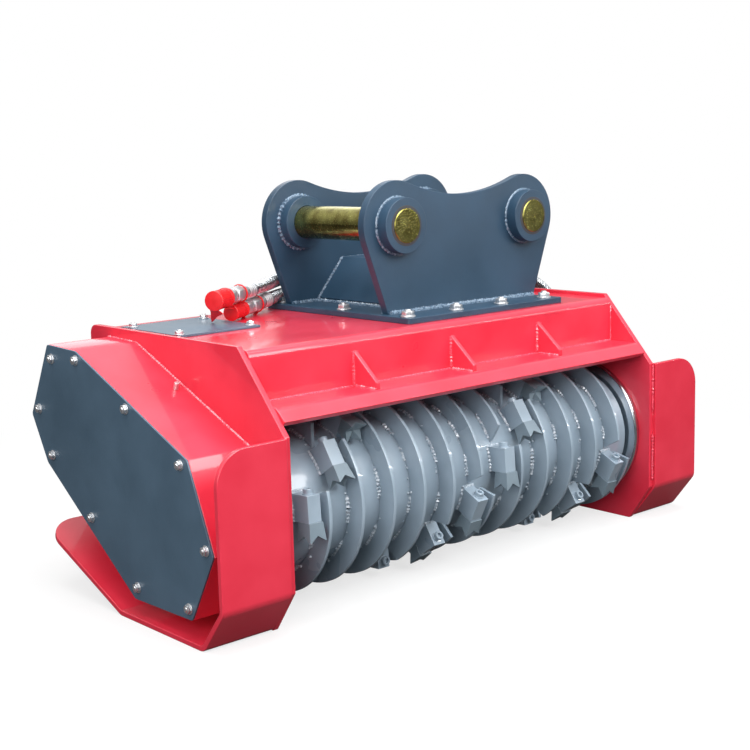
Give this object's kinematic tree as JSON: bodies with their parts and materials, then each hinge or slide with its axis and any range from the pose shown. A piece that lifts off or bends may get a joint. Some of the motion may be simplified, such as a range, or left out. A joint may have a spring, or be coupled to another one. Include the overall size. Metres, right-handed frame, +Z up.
{
  "type": "forestry mulcher",
  "caption": "Excavator forestry mulcher head: red welded housing on skids, drum rotor with ribs and teeth, side belt case, two-pin bracket and capped hydraulic hoses.",
  "frame": {"origin": "on the ground under the middle of the housing, centred between the skids' outer edges and between the skids' front faces and the belt case's rear corner", "axes": "+X along the rotor away from the belt case, -Y out of the open cutting side, +Z up"},
  "size_m": [1.6308, 0.7188, 0.7745],
  "materials": {
    "red_paint": "gloss red paint on welded plate",
    "dark_paint": "satin anthracite blue-grey paint",
    "rotor_paint": "semi-gloss blue-grey paint",
    "tooth_steel": "forged tooth steel, thinly painted",
    "machined_steel": "turned bare steel",
    "gold_zinc": "yellow zinc plated",
    "bright_zinc": "bright zinc plated",
    "red_plastic": "moulded soft plastic",
    "hose_rubber": "black hydraulic hose under a steel spring guard",
    "motor_iron": "cast"
  },
  "bodies": {
    "frame": {"side_plate_left": "red_paint", "side_plate_right": "red_paint", "skid_left": "red_paint", "skid_right": "red_paint", "hood_plate": "red_paint", "front_shelf": "red_paint", "front_gussets": "red_paint", "chamber_roof": "red_paint", "chamber_slope": "red_paint", "chamber_back": "red_paint", "counter_knife": "tooth_steel", "rear_plate": "red_paint", "guard_ring_left": "machined_steel", "guard_ring_right": "machined_steel", "bearing_housing": "dark_paint", "bearing_cap": "dark_paint", "belt_case_wall": "red_paint", "belt_case_cover": "dark_paint", "drive_motor": "motor_iron", "bracket_base": "dark_paint", "ear_front": "dark_paint", "ear_rear": "dark_paint", "pin_bosses_front": "dark_paint", "pin_bosses_rear": "dark_paint", "pin_left": "gold_zinc", "pin_right": "gold_zinc", "cross_box": "dark_paint", "inspection_cover": "dark_paint", "grease_nipple": "bright_zinc", "hose_lower": "hose_rubber", "hose_upper": "hose_rubber", "coupler_lower": "bright_zinc", "coupler_upper": "bright_zinc", "dust_cap_lower": "red_plastic", "dust_cap_upper": "red_plastic", "port_elbows": "bright_zinc"},
    "rotor": {"drum_tube": "rotor_paint", "drum_ribs": "rotor_paint", "tool_holders": "rotor_paint", "cutter_teeth": "tooth_steel"}
  },
  "joints": [
    {"name": "rotor_spin", "type": "hinge", "parent": "frame", "child": "rotor", "pos_m": [0, -0.1335, 0.194], "axis": [1, 0, 0], "continuous": true}
  ]
}
